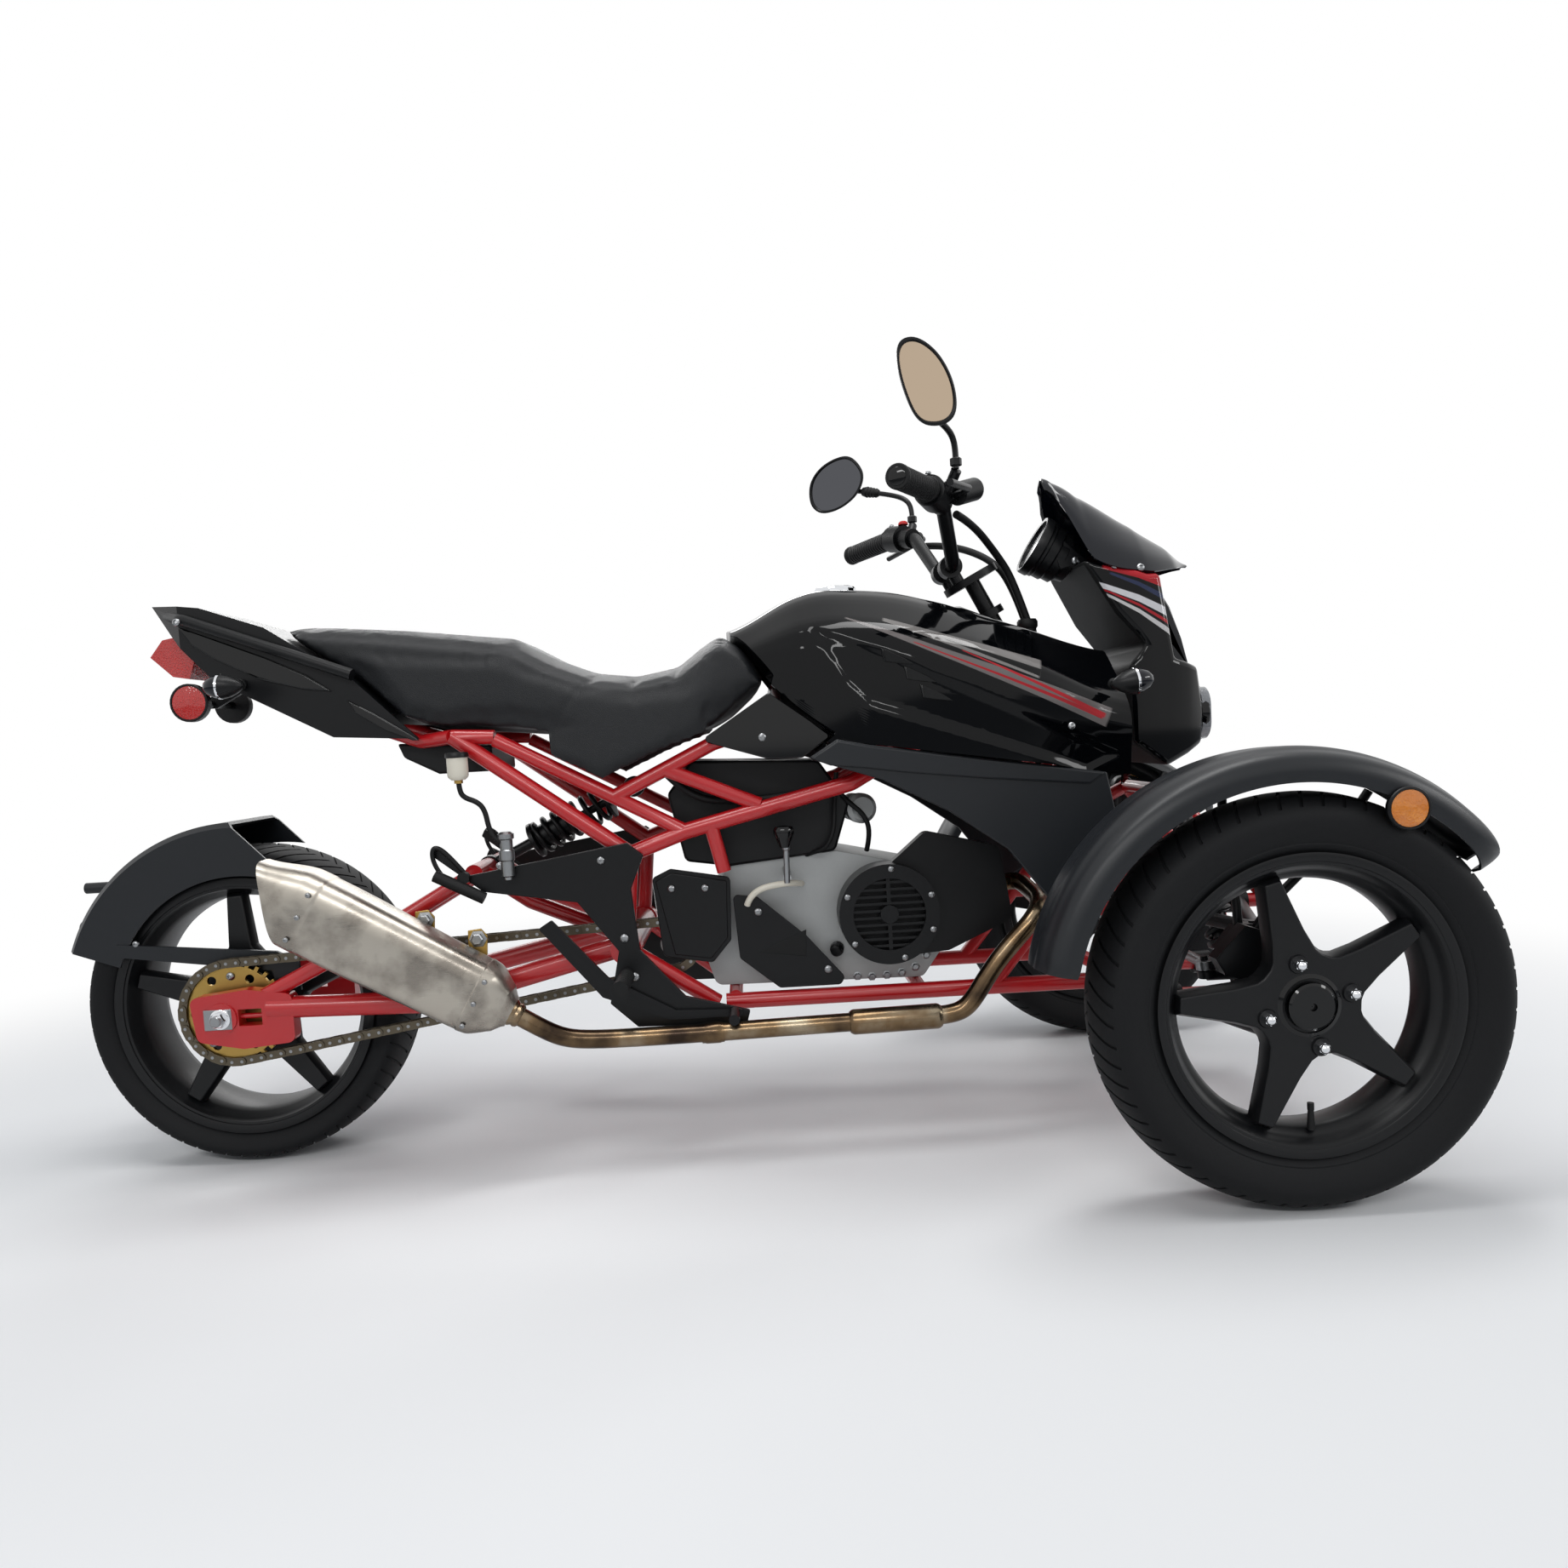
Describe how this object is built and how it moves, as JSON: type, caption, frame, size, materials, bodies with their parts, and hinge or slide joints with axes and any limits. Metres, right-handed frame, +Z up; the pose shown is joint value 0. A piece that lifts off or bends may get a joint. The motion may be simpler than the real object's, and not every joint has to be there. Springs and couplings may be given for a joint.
{
  "type": "motor trike",
  "caption": "Motor trike with two steered front wheels, one chain-driven rear wheel, tube frame, long saddle and handlebar.",
  "frame": {"origin": "on the ground, at the middle of the trike's bounding box", "axes": "+X forward, +Y to the rider's left, +Z up"},
  "size_m": [2.0679, 0.98, 1.1655],
  "materials": {
    "tyre": "matte",
    "black_rim": "satin",
    "frame_red": "gloss",
    "frame_black": "satin",
    "engine_metal": "satin",
    "black_plastic": "matte",
    "gloss_black": "gloss",
    "muffler_steel": "brushed",
    "pipe_steel": "heat tinted",
    "chain_steel": "oiled",
    "gold_steel": "satin",
    "silver": "satin",
    "seat_leather": "grained",
    "rubber": "matte",
    "lamp_lens": "gloss",
    "smoked": "gloss"
  },
  "bodies": {
    "chassis": {"chain": "chain_steel", "trellis_right": "frame_red", "trellis_left": "frame_red", "cradle": "frame_red", "swingarm": "frame_red", "engine": "engine_metal", "fan_shroud": "black_plastic", "airbox": "black_plastic", "exhaust_pipe": "pipe_steel", "muffler": "muffler_steel", "tank": "gloss_black", "side_panels": "black_plastic", "seat": "seat_leather", "tail_fairing": "gloss_black", "undertray": "black_plastic", "lamps": "lamp_lens", "hugger": "black_plastic", "nose_fairing": "gloss_black", "windscreen": "smoked", "instrument_pod": "black_plastic", "brackets": "frame_black", "foot_controls": "silver", "wishbones": "frame_black", "shocks": "frame_black"},
    "wheel_front_right": {"tyre_front_right": "tyre", "rim_front_right": "black_rim"},
    "wheel_front_left": {"tyre_front_left": "tyre", "rim_front_left": "black_rim"},
    "wheel_rear": {"tyre_rear": "tyre", "rim_rear": "black_rim", "sprocket_rear": "gold_steel"},
    "knuckle_right": {"knuckle_right": "frame_black", "fender_right": "gloss_black"},
    "knuckle_left": {"knuckle_left": "frame_black", "fender_left": "gloss_black"},
    "handlebar": {"steering_column": "frame_black", "handlebar": "frame_black", "grips": "rubber", "controls": "black_plastic", "mirrors": "gloss_black", "control_cables": "rubber"},
    "tie_rod_right": {"tie_rod_right": "silver"},
    "tie_rod_left": {"tie_rod_left": "silver"}
  },
  "joints": [
    {"name": "steering", "type": "hinge", "parent": "chassis", "child": "handlebar", "pos_m": [0.464, 0, 0.866], "axis": [-0.454, 0, 0.891], "range_deg": [-33, 33]},
    {"name": "kingpin_right", "type": "hinge", "parent": "chassis", "child": "knuckle_right", "pos_m": [0.766, -0.335, 0.268], "axis": [-0.1392, 0, 0.9903], "range_deg": [-25, 25]},
    {"name": "front_wheel_spin_right", "type": "hinge", "parent": "knuckle_right", "child": "wheel_front_right", "pos_m": [0.766, -0.418, 0.268], "axis": [0, 1, 0], "continuous": true},
    {"name": "tie_rod_end_right", "type": "hinge", "parent": "knuckle_right", "child": "tie_rod_right", "pos_m": [0.686, -0.335, 0.3], "axis": [-0.1392, 0, 0.9903], "range_deg": [-25, 25]},
    {"name": "kingpin_left", "type": "hinge", "parent": "chassis", "child": "knuckle_left", "pos_m": [0.766, 0.335, 0.268], "axis": [-0.1392, 0, 0.9903], "range_deg": [-25, 25]},
    {"name": "front_wheel_spin_left", "type": "hinge", "parent": "knuckle_left", "child": "wheel_front_left", "pos_m": [0.766, 0.418, 0.268], "axis": [0, 1, 0], "continuous": true},
    {"name": "tie_rod_end_left", "type": "hinge", "parent": "knuckle_left", "child": "tie_rod_left", "pos_m": [0.686, 0.335, 0.3], "axis": [-0.1392, 0, 0.9903], "range_deg": [-25, 25]},
    {"name": "rear_wheel_spin", "type": "hinge", "parent": "chassis", "child": "wheel_rear", "pos_m": [-0.749, 0, 0.257], "axis": [0, 1, 0], "continuous": true}
  ],
  "couplings": [
    {"joint": "kingpin_right", "follows": "steering", "ratio": 0.75758},
    {"joint": "tie_rod_end_right", "follows": "steering", "ratio": -0.75758},
    {"joint": "kingpin_left", "follows": "steering", "ratio": 0.75758},
    {"joint": "tie_rod_end_left", "follows": "steering", "ratio": -0.75758}
  ]
}
